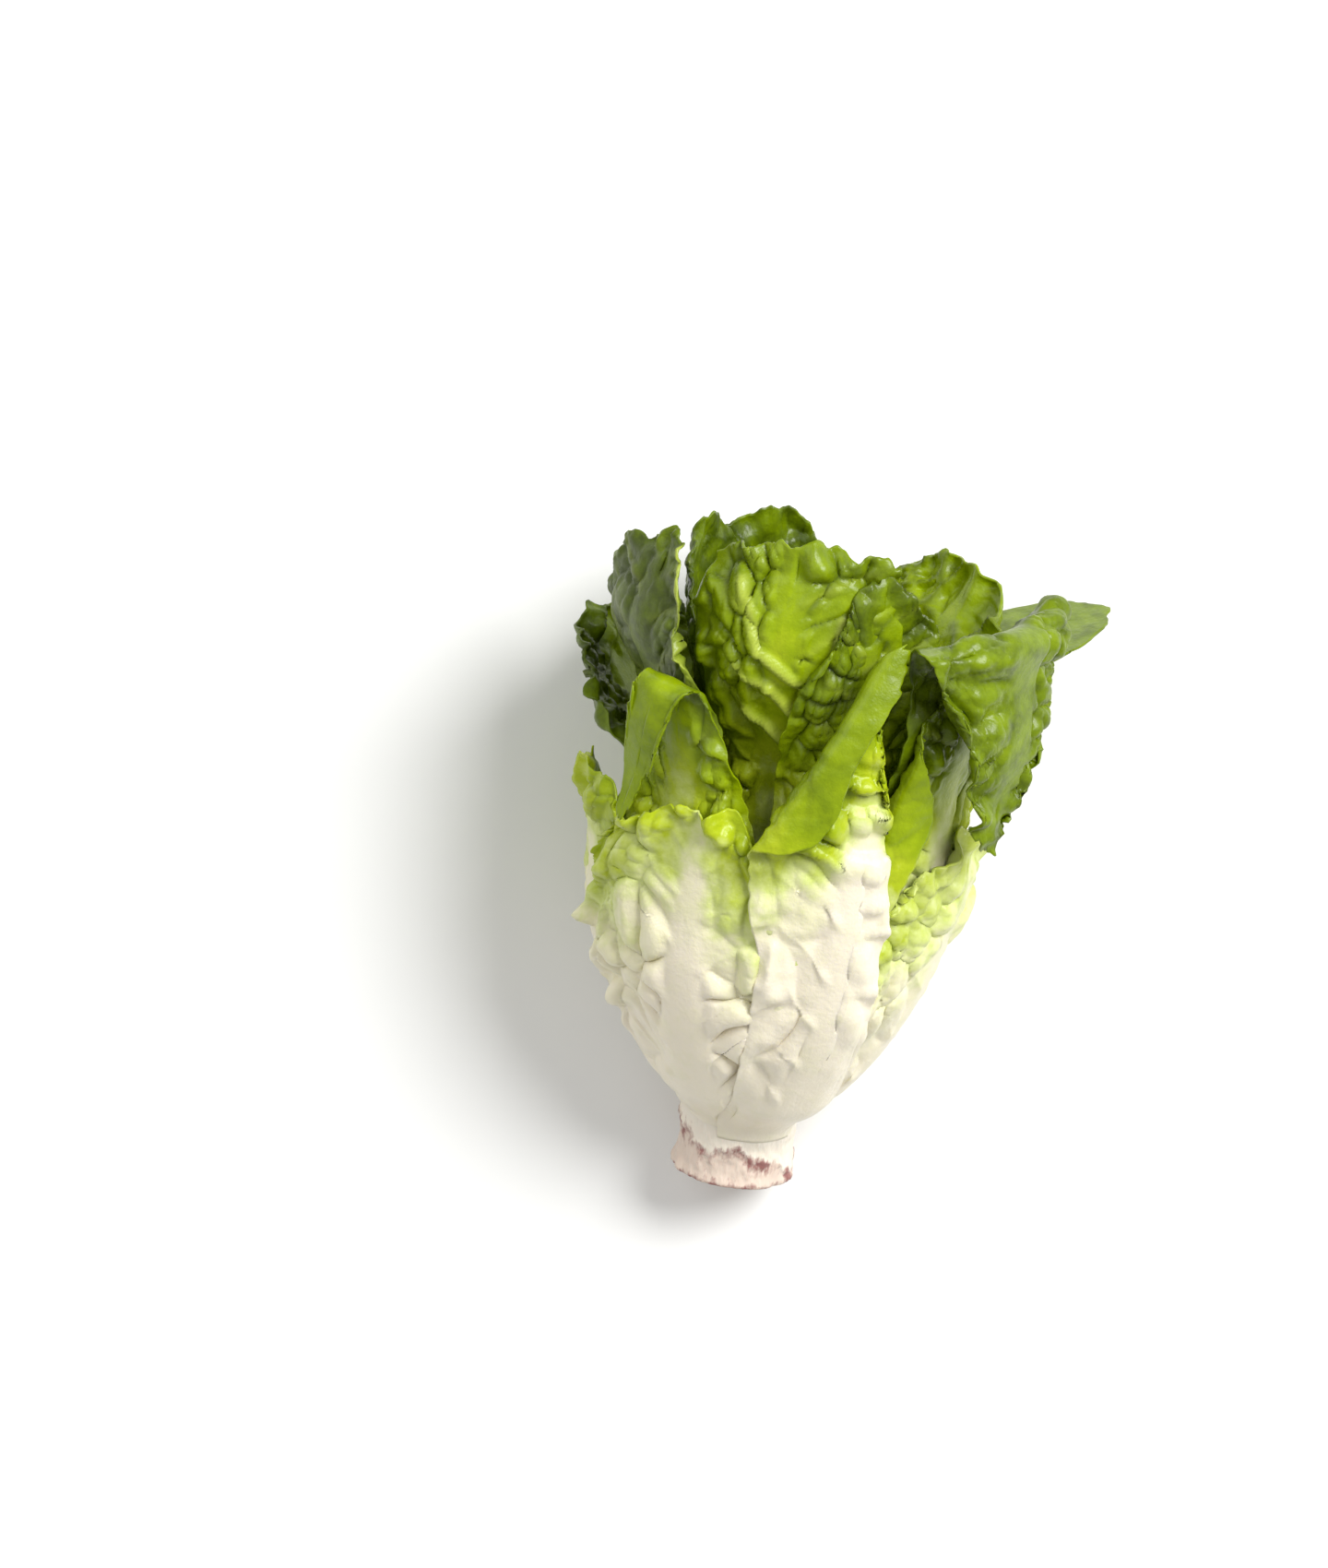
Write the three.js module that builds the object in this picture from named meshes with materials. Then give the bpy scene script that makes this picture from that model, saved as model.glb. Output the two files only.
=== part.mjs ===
// A head of little gem lettuce, lying on its side as it comes to rest on a table.
// Units are millimetres, +Z is up and the leaf tips point along +Y.
//
// The head is a short cut stem and a spiral of leaves. Every leaf is a thin sheet that grows from the stem
// and follows its own layer: a share of the way from the core out to the head's envelope. The layers never
// cross, so the leaves nest as the real ones do. The lowest leaves are pressed flat by the table.
import * as THREE from "three";

// Driving dimensions of the whole head.
const HEAD_RADIUS = 47; // widest radius of the head, leaves closed
const SHOULDER = 29; // how quickly the head widens above the stem
const SHOULDER_CURVE = 1.3; // above 1 the neck is concave before it widens
const TOP_STARTS = 108; // station along the head where it starts to close again
const TOP_LENGTH = 60; // distance over which it closes
const TOP_CLOSING = 0.2; // share of the radius lost at the end of that distance
const LIE_ANGLE = THREE.MathUtils.degToRad(20); // the head's axis rises this much from the stem to the tips

// The stem and the core that the leaves grow from.
const STEM_RADIUS = 13.3; // at the cut end
const NECK_RADIUS = 12.3; // where the first leaf leaves the stem
const NECK = 11; // station of the first leaf's base
const COLLAR = 6.6; // how far up the stem narrows from its cut end
const CORE_LENGTH = 53; // from the neck to the growing tip
const CORE_TAPER = 1.4; // above 1 the core is blunt
const CORE_SIDES = 24;
const CORE_RINGS = 9;

// The leaves.
const SHEET = 0.9; // thickness of a leaf
const ROOT_GAP = 0.4; // clearance between a leaf and the stem
const BASE_STEP = 1.95; // each leaf's base sits this much higher than the one before
const LAYERS = 25.5; // layers between the envelope and the middle of the head
const CROWD_FROM = 95; // above this station the outer layers close up, as their leaves come to an end
const CROWD_LENGTH = 40;
const CROWDING = 1; // how strongly they close up
const FLOOR_GAP = 0.05; // clearance under the lowest leaf
const FLOOR_EASE = 1.5; // how softly a leaf bends where it meets the table
const WRAP_LIMIT = 2.5; // widest half angle of a leaf round the head, in radians

// One row for each leaf, from the outermost inwards. turn is its bearing round the head in degrees: 0 is the
// top as it lies, 90 is +X, 180 is the table. tip is its unrolled length along the head, from the cut end.
// left and right are its half widths at six even steps from the base to the tip; right is the same as left
// where it is not given. bend is how far the midrib curves to +X by the tip. flare moves the top outwards by a
// distance, from one station to another.
// A fold turns the part beyond a straight line outwards: at is a point on the line as [station, distance from
// the midrib], toward the direction of the folded side in degrees from the tip direction towards +X.
const LEAVES = [
  {
    name: "front_right_leaf", turn: 33, tip: 142, bend: -8,
    left: [11, 20, 26, 30, 32, 16], right: [10, 8, 12, 7, 2, 2],
    folds: [{ at: [112, -20], toward: -63, radius: 2.0, angle: 168 }],
  },
  { name: "front_left_short_leaf", turn: -24, tip: 97, left: [11, 22, 29, 33, 32, 24] },
  { name: "right_short_leaf", turn: 78, tip: 86, left: [10, 17, 25, 29, 30, 22] },
  { name: "left_short_leaf", turn: -76, tip: 90, left: [10, 17, 24, 28, 28, 20] },
  {
    name: "right_edge_leaf", turn: 65, tip: 126,
    left: [10, 20, 30, 36, 35, 18], right: [10, 15, 19, 21, 20, 14],
    folds: [{ at: [112, -21], toward: -86, radius: 1.8, angle: 165 }],
  },
  {
    name: "left_folded_leaf", turn: -36, tip: 158, left: [10, 20, 26, 20, 9, 4],
    folds: [{ at: [119, 0], toward: 4, radius: 3.2, angle: 172 }],
  },
  {
    name: "right_hanging_leaf", turn: 61, tip: 195,
    left: [10, 17, 17, 20, 25, 13], right: [10, 17, 22, 23, 22, 10],
    flare: [9, 126, 145], folds: [{ at: [136, 0], toward: -1, radius: 4.6, angle: 168 }],
  },
  { name: "lower_right_leaf", turn: 130, tip: 112, left: [10, 20, 28, 33, 33, 24] },
  { name: "lower_left_leaf", turn: -124, tip: 116, left: [10, 20, 28, 33, 33, 24] },
  {
    name: "right_tail_leaf", turn: 118, tip: 149, left: [9, 13, 15, 17, 17, 10],
    folds: [{ at: [106, 0], toward: 0, radius: 15, angle: 72 }],
  },
  {
    name: "left_rolled_leaf", turn: -68, tip: 150, bend: 8,
    left: [9, 17, 25, 30, 30, 21], right: [9, 17, 23, 27, 28, 18],
    flare: [6, 110, 132], folds: [{ at: [128, 28], toward: 80, radius: 1.6, angle: 150 }], round: 0.11,
  },
  { name: "underside_leaf", turn: 180, tip: 128, left: [9, 18, 26, 31, 31, 22] },
  {
    name: "centre_right_leaf", turn: 24, tip: 150, flare: [5, 112, 140],
    left: [8, 10, 12, 14, 16, 11], right: [8, 11, 15, 19, 21, 14],
  },
  { name: "back_right_leaf", turn: 120, tip: 140, left: [8, 15, 23, 29, 30, 23], flare: [9, 118, 140] },
  {
    name: "centre_veined_leaf", turn: -9, tip: 156, flare: [5, 112, 140], round: 0.06,
    left: [8, 13, 17, 19, 21, 17], right: [8, 14, 20, 23, 24, 19],
  },
  { name: "back_left_leaf", turn: -158, tip: 142, left: [8, 16, 22, 26, 26, 15], flare: [4, 114, 140] },
  { name: "left_inner_leaf", turn: -106, tip: 145, left: [8, 15, 21, 26, 27, 20], flare: [2, 120, 140] },
  { name: "back_inner_leaf", turn: 168, tip: 136, left: [8, 16, 22, 27, 27, 18] },
  { name: "heart_leaf_1", turn: 62, tip: 138, left: [7, 13, 19, 23, 23, 15] },
  { name: "heart_leaf_2", turn: -50, tip: 142, left: [7, 12, 18, 21, 21, 14] },
  { name: "heart_leaf_3", turn: 128, tip: 136, left: [6, 11, 16, 19, 20, 13] },
  { name: "heart_leaf_4", turn: -124, tip: 130, left: [5, 10, 14, 17, 17, 12] },
  { name: "heart_leaf_5", turn: 14, tip: 122, left: [5, 8, 12, 14, 14, 10] },
  { name: "heart_leaf_6", turn: 160, tip: 110, left: [4, 7, 10, 12, 12, 8] },
];
const TIP_ROUNDING = 0.15; // how far the corners of a tip fall back, as a share of the leaf's length
const HEART_FROM = 18; // leaves from this layer inwards are small and get a coarser mesh
const GRID = { folded: [18, 12], open: [10, 8], heart: [8, 6] };

const LEAF_GREEN = new THREE.MeshStandardMaterial({ color: 0x8faa1c, roughness: 0.45, metalness: 0 });
const HEART_YELLOW = new THREE.MeshStandardMaterial({ color: 0xc8d36a, roughness: 0.5, metalness: 0 });
const STEM_IVORY = new THREE.MeshStandardMaterial({ color: 0xe3d8c8, roughness: 0.55, metalness: 0 });

const smooth = (x) => {
  const t = THREE.MathUtils.clamp(x, 0, 1);
  return t * t * (3 - 2 * t);
};

// A smooth curve through evenly spaced values, t from 0 to 1.
const curve = (values, t) => {
  const last = values.length - 1;
  const from = Math.min(Math.floor(THREE.MathUtils.clamp(t, 0, 1) * last), last - 1);
  const f = THREE.MathUtils.clamp(t, 0, 1) * last - from;
  const value = (i) => values[THREE.MathUtils.clamp(i, 0, last)];
  const [a, b, c, d] = [value(from - 1), value(from), value(from + 1), value(from + 2)];
  return b + (f * (c - a + f * (2 * a - 5 * b + 4 * c - d + f * (3 * (b - c) + d - a)))) / 2;
};

// The smaller of two lengths, with the corner between them rounded.
const softMin = (a, b) => (a + b - Math.hypot(a - b, FLOOR_EASE)) / 2;

// The head's own frame: its axis leans up from the stem, and station 0 is the middle of the cut end.
const AXIS = new THREE.Vector3(0, Math.cos(LIE_ANGLE), Math.sin(LIE_ANGLE));
const UP = new THREE.Vector3(0, -Math.sin(LIE_ANGLE), Math.cos(LIE_ANGLE));
const SIDE = new THREE.Vector3(1, 0, 0);
const CUT_HEIGHT = STEM_RADIUS * Math.cos(LIE_ANGLE); // the stem's lowest corner touches the table

const place = (station, radius, bearing) =>
  new THREE.Vector3(0, 0, CUT_HEIGHT)
    .addScaledVector(AXIS, station)
    .addScaledVector(SIDE, radius * Math.sin(bearing))
    .addScaledVector(UP, radius * Math.cos(bearing));

const coreRadius = (station) => {
  const along = THREE.MathUtils.clamp((station - NECK) / CORE_LENGTH, 0, 1);
  return NECK_RADIUS * (1 - Math.pow(along, CORE_TAPER));
};

// Radius of the closed head at a station and bearing, held off the table.
const envelope = (station, bearing) => {
  const past = Math.max(station - NECK + 1, 0) / SHOULDER;
  const neck = NECK_RADIUS + ROOT_GAP + SHEET;
  const open = neck + (HEAD_RADIUS - neck) * (1 - Math.exp(-Math.pow(past, SHOULDER_CURVE)));
  const closed = open * (1 - TOP_CLOSING * smooth((station - TOP_STARTS) / TOP_LENGTH));
  const down = -Math.cos(bearing) * Math.cos(LIE_ANGLE);
  if (down < 0.05) return closed;
  const height = CUT_HEIGHT + station * Math.sin(LIE_ANGLE) - SHEET / 2 - FLOOR_GAP;
  return softMin(closed, height / down);
};

// Radius of one layer. A layer starts on the core, where its leaf is rooted, and moves out to its share.
const layerRadius = (layer, station, bearing) => {
  const begun = Math.max((station - NECK) / BASE_STEP, layer, 0.5);
  const count = begun > LAYERS - 3 ? LAYERS - 3 * Math.exp((LAYERS - 3 - begun) / 3) : begun;
  const root = coreRadius(station) + ROOT_GAP + SHEET / 2;
  const crowded = 1 + CROWDING * smooth((station - CROWD_FROM) / CROWD_LENGTH);
  const share = 1 - Math.pow(Math.min(layer / count, 1), crowded);
  return root + Math.max(envelope(station, bearing) - root, 0) * share;
};

// Turns a point of the flat leaf by its folds: its new place in the leaf and its height above the layer.
const folded = (leaf, station, across) => {
  let [s, q, height] = [station, across, 0];
  for (const fold of leaf.folds ?? []) {
    const toward = THREE.MathUtils.degToRad(fold.toward);
    const [ms, mq] = [Math.cos(toward), Math.sin(toward)];
    const beyond = (s - fold.at[0]) * ms + (q - fold.at[1]) * mq;
    if (beyond <= 0) continue;
    const full = THREE.MathUtils.degToRad(fold.angle);
    const turned = Math.min(beyond / fold.radius, full);
    const rest = beyond - fold.radius * turned;
    const reach = fold.radius * Math.sin(turned) + rest * Math.cos(turned);
    height += fold.radius * (1 - Math.cos(turned)) + rest * Math.sin(turned);
    s += (reach - beyond) * ms;
    q += (reach - beyond) * mq;
  }
  return [s, q, height];
};

// A point on a leaf's middle surface. u runs from the base to the tip and v from edge to edge, -1 to 1.
const leafPoint = (leaf, layer, u, v) => {
  const start = NECK + BASE_STEP * layer;
  const length = leaf.tip - start;
  const station = start + length * u * (1 - (leaf.round ?? TIP_ROUNDING) * v * v * u * u);
  const half = curve(v < 0 ? leaf.left : (leaf.right ?? leaf.left), u);
  const [s, q, height] = folded(leaf, station, v * half + (leaf.bend ?? 0) * u * u);
  const turn = THREE.MathUtils.degToRad(leaf.turn);
  const wrap = layerRadius(layer, s, turn);
  const away = WRAP_LIMIT * Math.tanh(q / wrap / WRAP_LIMIT);
  const [flare, from, to] = leaf.flare ?? [0, 0, 1];
  const radius = layerRadius(layer, s, turn + away) + flare * smooth((s - from) / (to - from)) + height;
  return place(s, radius, turn + away);
};

// A closed sheet of the leaf: the middle surface moved half the thickness each way along its normal.
const leafGeometry = (leaf, layer) => {
  const [rows, columns] = leaf.folds ? GRID.folded : layer < HEART_FROM ? GRID.open : GRID.heart;
  const step = 1e-3;
  const outer = [];
  const inner = [];
  for (let i = 0; i <= rows; i++) {
    for (let j = 0; j <= columns; j++) {
      const [u, v] = [i / rows, (2 * j) / columns - 1];
      const middle = leafPoint(leaf, layer, u, v);
      const along = leafPoint(leaf, layer, u + step, v).sub(leafPoint(leaf, layer, u - step, v));
      const over = leafPoint(leaf, layer, u, v + step).sub(leafPoint(leaf, layer, u, v - step));
      const normal = over.cross(along).normalize();
      outer.push(middle.clone().addScaledVector(normal, SHEET / 2));
      inner.push(middle.clone().addScaledVector(normal, -SHEET / 2));
    }
  }
  const points = [...outer, ...inner];
  const at = (side, i, j) => side * outer.length + i * (columns + 1) + j;
  const index = [];
  const quad = (a, b, c, d) => index.push(a, b, c, a, c, d);
  for (let i = 0; i < rows; i++) {
    for (let j = 0; j < columns; j++) {
      quad(at(0, i, j), at(0, i, j + 1), at(0, i + 1, j + 1), at(0, i + 1, j));
      quad(at(1, i, j), at(1, i + 1, j), at(1, i + 1, j + 1), at(1, i, j + 1));
    }
    quad(at(0, i, 0), at(0, i + 1, 0), at(1, i + 1, 0), at(1, i, 0));
    quad(at(0, i + 1, columns), at(0, i, columns), at(1, i, columns), at(1, i + 1, columns));
  }
  for (let j = 0; j < columns; j++) {
    quad(at(0, 0, j + 1), at(0, 0, j), at(1, 0, j), at(1, 0, j + 1));
    quad(at(0, rows, j), at(0, rows, j + 1), at(1, rows, j + 1), at(1, rows, j));
  }
  return new THREE.BufferGeometry().setFromPoints(points).setIndex(index);
};

// The cut stem with the core that tapers up inside the head, turned and then laid along the head's axis.
const stemGeometry = () => {
  const profile = [new THREE.Vector2(0, 0), new THREE.Vector2(STEM_RADIUS, 0)];
  profile.push(new THREE.Vector2(NECK_RADIUS, COLLAR), new THREE.Vector2(NECK_RADIUS, NECK));
  for (let i = 1; i < CORE_RINGS; i++) {
    const station = NECK + (CORE_LENGTH * i) / CORE_RINGS;
    profile.push(new THREE.Vector2(coreRadius(station), station));
  }
  profile.push(new THREE.Vector2(0, NECK + CORE_LENGTH));
  const lathe = new THREE.LatheGeometry(profile, CORE_SIDES);
  const laid = new THREE.Matrix4().makeBasis(SIDE, AXIS, UP);
  return lathe.applyMatrix4(laid).translate(0, 0, CUT_HEIGHT);
};

const head = new THREE.Group();
const addPiece = (name, geometry, material) => {
  const mesh = new THREE.Mesh(geometry, material);
  mesh.name = name;
  head.add(mesh);
};

addPiece("cut_stem", stemGeometry(), STEM_IVORY);
LEAVES.forEach((leaf, layer) => {
  const material = layer < HEART_FROM ? LEAF_GREEN : HEART_YELLOW;
  addPiece(leaf.name, leafGeometry(leaf, layer), material);
});

// The origin is on the table, under the middle of the head's bounding box.
const box = new THREE.Box3().setFromObject(head, true);
const middle = box.getCenter(new THREE.Vector3());
for (const mesh of head.children) {
  mesh.position.set(-middle.x, -middle.y, -box.min.z);
}

export default head;
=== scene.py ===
import math

import bpy
import numpy as np
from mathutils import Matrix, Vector


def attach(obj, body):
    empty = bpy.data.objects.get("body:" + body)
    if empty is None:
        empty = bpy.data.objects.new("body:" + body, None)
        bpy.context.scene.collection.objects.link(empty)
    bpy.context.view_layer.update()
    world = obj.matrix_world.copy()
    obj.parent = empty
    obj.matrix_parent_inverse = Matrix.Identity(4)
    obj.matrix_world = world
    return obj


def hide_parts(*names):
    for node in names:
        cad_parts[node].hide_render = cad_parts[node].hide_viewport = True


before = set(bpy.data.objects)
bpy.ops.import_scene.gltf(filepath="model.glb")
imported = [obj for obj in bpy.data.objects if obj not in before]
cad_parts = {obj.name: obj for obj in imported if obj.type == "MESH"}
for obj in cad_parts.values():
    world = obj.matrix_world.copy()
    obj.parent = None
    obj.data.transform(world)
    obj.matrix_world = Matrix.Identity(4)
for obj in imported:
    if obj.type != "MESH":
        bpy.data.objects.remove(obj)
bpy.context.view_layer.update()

# A head of little gem lettuce lying on its side: a cut stem and a spiral of leaves. Each leaf grows along
# its own layer between the core and the outside of the head. Lengths are in millimetres until a mesh is made.

# The form of the head. A station is a distance along its axis from the cut end of the stem, and a bearing is
# an angle round the axis from the top.
HEAD_RADIUS = 47  # widest radius of the head, leaves closed
SHOULDER = 29  # how quickly the head widens above the stem
SHOULDER_CURVE = 1.3  # above 1 the neck is concave before it widens
TOP_STARTS = 108  # station where the head starts to close again
TOP_LENGTH = 60  # distance over which it closes
TOP_CLOSING = 0.2  # share of the radius lost over that distance
LIE_ANGLE = math.radians(20)  # the axis rises this much from the stem to the tips
STEM_RADIUS = 13.3  # at the cut end
NECK_RADIUS = 12.3  # where the first leaf leaves the stem
NECK = 11  # station of the first leaf's base
COLLAR = 6.6  # how far up the stem narrows from its cut end
CORE_LENGTH = 53  # from the neck to the growing tip
CORE_TAPER = 1.4  # above 1 the core is blunt
SHEET = 0.9  # thickness of a leaf
ROOT_GAP = 0.4  # clearance between a leaf and the stem
BASE_STEP = 1.95  # each leaf's base sits this much higher than the one before
LAYERS = 25.5  # layers between the outside and the middle of the head
CROWD_FROM = 95  # above this station the outer layers close up, as their leaves come to an end
CROWD_LENGTH = 40  # distance over which they close up
CROWDING = 1  # how strongly they close up
# The outermost layer is held off the table. The leaves under the head lie further in and hang above it.
FLOOR_GAP = 0.05  # clearance between that layer and the table
FLOOR_EASE = 1.5  # how softly that layer bends where it comes near the table
WRAP_LIMIT = 2.5  # widest half angle of a leaf round the head, in radians
TIP_ROUNDING = 0.15  # how far the corners of a tip fall back, where its row says nothing else
HEART_FROM = 18  # the leaves from this one inwards are the yellow heart
BASE_EASE = 15  # the head stays slim for this far above the first leaf
SMOOTH_BASE = 28  # the foot of a leaf, where its blisters fade in
MOST_SWELL = 4.5  # the tallest a blister or ruffle may stand
LEAST_ROOM = 2.5  # the swelling that a folded part may always have
VEIN_SPACING = 12.0  # from one side vein to the next along the leaf
OPEN_GRID = (180, 110)  # rows and columns of points on a leaf that shows
HIDDEN_GRID = (90, 56)
HIDDEN_LEAVES = ("back_inner_leaf", "underside_leaf")
CUT_HEIGHT = STEM_RADIUS * math.cos(LIE_ANGLE)

AXIS = np.array([0, math.cos(LIE_ANGLE), math.sin(LIE_ANGLE)])
UP = np.array([0, -math.sin(LIE_ANGLE), math.cos(LIE_ANGLE)])
SIDE = np.array([1.0, 0, 0])

# One row for each leaf, outermost first.
# Shape: turn is its bearing and tip the station it ends at. left and right are its half widths from base to
# tip, and bend moves its tip sideways. flare lifts it off the head by a distance from one station to another.
# Each fold turns the part beyond a line outwards. round is how far the corners of the tip fall back.
# Relief: puff is how far its blisters stand out and cell how wide they are. ruffle is the height of the waves
# along its margin. rib is the midrib's half width at the base and its height there. wrinkle is the depth of
# its cross wrinkles, with the stations they run between. dents are hollows pressed into the leaf: station,
# distance from the midrib, the two half sizes and the depth. ridges are its boldest veins or curled creases:
# two ends, the half width and the height. flap_puff is how far blisters stand out of the folded part.
# Colour: green is the station where white ends and the one where full green begins. flap_pale is how much
# paler the folded part is. dull is how grey the waxy bloom makes the outer face.
LEAVES = [
    dict(name="front_right_leaf", turn=26, tip=142, bend=-7, left=[11, 17, 20, 25, 28, 13],
         right=[10, 9, 8, 6, 4, 2], folds=[dict(at=(112, -14.5), toward=-63, radius=2.0, angle=168)],
         puff=3.2, cell=16, ruffle=1.3, rib=(8.5, 2.8), wrinkle=(3.2, 84, 126), green=(70, 117), dull=0.0),
    dict(name="front_left_short_leaf", turn=-24, tip=97, left=[11, 20, 28, 33, 32, 24],
         puff=3.2, cell=10, ruffle=3.6, rib=(7, 2.2), green=(50, 128), dull=0.0),
    dict(name="right_short_leaf", turn=74, tip=90, left=[10, 19, 29, 34, 34, 24],
         puff=3.4, cell=10, ruffle=3.0, rib=(8, 2.0), green=(26, 158), dull=0.1),
    dict(name="left_short_leaf", turn=-76, tip=94, left=[10, 15, 23, 28, 28, 20], flare=(3, 70, 92),
         puff=2.4, cell=7, ruffle=2.2, rib=(8, 2.0), green=(44, 118), dull=0.2),
    dict(name="right_edge_leaf", turn=65, tip=131, bend=-10, left=[10, 20, 27, 30, 28, 14],
         right=[10, 15, 19, 21, 20, 12], folds=[dict(at=(112, -21), toward=-86, radius=1.8, angle=165)],
         puff=2.8, cell=8, ruffle=1.2, rib=(7, 1.8), green=(56, 118), dull=0.0),
    dict(name="left_folded_leaf", turn=-36, tip=158, bend=-2, left=[10, 20, 24, 15, 7, 4],
         folds=[dict(at=(119, 0), toward=4, radius=3.2, angle=172)],
         puff=2.8, cell=7, ruffle=1.4, rib=(7, 1.8), green=(44, 122), dull=0.1),
    dict(name="right_hanging_leaf", turn=61, tip=195, bend=-5, left=[10, 17, 17, 19, 20, 9],
         right=[10, 17, 22, 23, 19, 8], flare=(9, 126, 145),
         folds=[dict(at=(136, 0), toward=-1, radius=4.6, angle=168)],
         flap_puff=1.1, flap_pale=0.05,
         puff=2.8, cell=8, ruffle=1.2, rib=(7, 1.8), green=(36, 96), dull=0.15),
    dict(name="lower_right_leaf", turn=130, tip=112, left=[10, 20, 28, 33, 33, 24],
         puff=3.0, cell=9, ruffle=2.8, rib=(8, 2.0), green=(20, 104), dull=0.2),
    dict(name="lower_left_leaf", turn=-118, tip=120, left=[10, 20, 28, 33, 33, 24], flare=(9, 88, 110),
         puff=2.6, cell=7, ruffle=2.6, rib=(8, 2.0), green=(46, 108), dull=0.35),
    dict(name="right_tail_leaf", turn=118, tip=149, left=[9, 13, 15, 17, 17, 10],
         folds=[dict(at=(106, 0), toward=0, radius=15, angle=72)],
         puff=0.8, cell=9, ruffle=0.6, rib=(7, 1.6), green=(36, 92), dull=0.0, flap_pale=0.05),
    dict(name="left_rolled_leaf", turn=-68, tip=150, bend=8, left=[9, 17, 25, 30, 30, 21],
         right=[9, 17, 21, 21, 18, 9], flare=(6, 110, 132), round=0.11,
         puff=1.8, cell=9, ruffle=1.1, rib=(6, 1.6), green=(44, 92), dull=0.55,
         dents=[(128, 6, 14, 4, 2)],
         ridges=[((148, 4), (128, 14), 0.9, 2.2), ((128, 14), (104, 20), 0.9, 2.0)]),
    dict(name="underside_leaf", turn=180, tip=128, left=[9, 18, 26, 31, 31, 22],
         puff=1.4, cell=8, ruffle=1.6, rib=(7, 1.8), green=(54, 110), dull=0.3),
    dict(name="centre_right_leaf", turn=24, tip=150, left=[8, 10, 12, 14, 16, 11],
         right=[8, 11, 15, 19, 21, 14], flare=(5, 112, 140),
         puff=2.4, cell=7, ruffle=1.1, rib=(5, 1.4), green=(52, 132), dull=0.1,
         dents=[(132, 4, 12, 7, 5), (112, 2, 12, 4, 3)]),
    dict(name="back_right_leaf", turn=120, tip=140, left=[8, 15, 23, 29, 30, 23], flare=(9, 118, 140),
         puff=3.8, cell=10, ruffle=1.4, rib=(5, 1.4), green=(40, 150), dull=0.0),
    dict(name="centre_veined_leaf", turn=-9, tip=156, left=[8, 13, 17, 19, 21, 17],
         right=[8, 14, 20, 23, 24, 19], flare=(5, 112, 140), round=0.06,
         puff=3.2, cell=7.5, ruffle=1.6, rib=(4, 1.0), green=(10, 158), dull=0.0,
         ridges=[((104, 13), (121, 9), 1.2, 2.3), ((121, 9), (131, -4), 1.0, 2.2),
                 ((131, -4), (145, -9), 0.8, 1.5), ((113, 6), (123, -2), 1.0, 2.1),
                 ((123, -2), (126, -9), 0.8, 1.4),
                 ((108, 2), (116, -7), 0.9, 1.9), ((121, 9), (140, 10), 0.8, 1.5)]),
    dict(name="back_left_leaf", turn=-158, tip=142, left=[8, 16, 22, 26, 26, 15], flare=(4, 114, 140),
         puff=1.4, cell=8, ruffle=1.2, rib=(5, 1.4), green=(56, 120), dull=0.1),
    dict(name="left_inner_leaf", turn=-106, tip=145, left=[8, 15, 21, 26, 27, 20], flare=(2, 120, 140),
         puff=1.4, cell=8, ruffle=1.2, rib=(5, 1.4), green=(40, 104), dull=0.1),
    dict(name="back_inner_leaf", turn=168, tip=136, left=[8, 16, 22, 27, 27, 18],
         puff=1.2, cell=8, ruffle=1.2, rib=(5, 1.4), green=(56, 116), dull=0.1),
    dict(name="heart_leaf_1", turn=62, tip=138, left=[7, 13, 19, 23, 23, 15],
         puff=1.2, cell=7, ruffle=1.0, rib=(4, 1.2), green=(50, 118), dull=0.0),
    dict(name="heart_leaf_2", turn=-50, tip=142, left=[7, 12, 18, 21, 21, 14],
         puff=1.2, cell=7, ruffle=1.0, rib=(4, 1.2), green=(60, 124), dull=0.0),
    dict(name="heart_leaf_3", turn=128, tip=136, left=[6, 11, 16, 19, 20, 13],
         puff=1.0, cell=7, ruffle=0.9, rib=(3.5, 1.0), green=(70, 130), dull=0.0),
    dict(name="heart_leaf_4", turn=-124, tip=130, left=[5, 10, 14, 17, 17, 12],
         puff=0.8, cell=6, ruffle=0.8, rib=(3, 0.9), green=(74, 140), dull=0.0),
    dict(name="heart_leaf_5", turn=14, tip=122, left=[5, 8, 12, 14, 14, 10],
         puff=0.6, cell=6, ruffle=0.7, rib=(2.5, 0.8), green=(80, 150), dull=0.0),
    dict(name="heart_leaf_6", turn=160, tip=110, left=[4, 7, 10, 12, 12, 8],
         puff=0.5, cell=6, ruffle=0.6, rib=(2, 0.6), green=(80, 160), dull=0.0),
]


def smooth(x):
    t = np.clip(x, 0, 1)
    return t * t * (3 - 2 * t)


def curve(values, t):
    """A smooth curve through evenly spaced values, t from 0 to 1."""
    v = np.array([values[0], *values, values[-1]], float)
    last = len(values) - 1
    x = np.clip(t, 0, 1) * last
    i = np.minimum(x.astype(int), last - 1)
    f = x - i
    a, b, c, d = v[i], v[i + 1], v[i + 2], v[i + 3]
    return b + f * (c - a + f * (2 * a - 5 * b + 4 * c - d + f * (3 * (b - c) + d - a))) / 2


def hashed(i, j, seed):
    """Repeatable values from 0 to 1, one for each pair of whole numbers."""
    n = (i * 374761393 + j * 668265263 + seed * 974634777) & 0xFFFFFFFF
    n = ((n ^ (n >> 13)) * 1274126177) & 0xFFFFFFFF
    n = ((n ^ (n >> 15)) * 2246822519) & 0xFFFFFFFF
    return ((n ^ (n >> 16)) & 0xFFFFFF) / 0xFFFFFF


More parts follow.
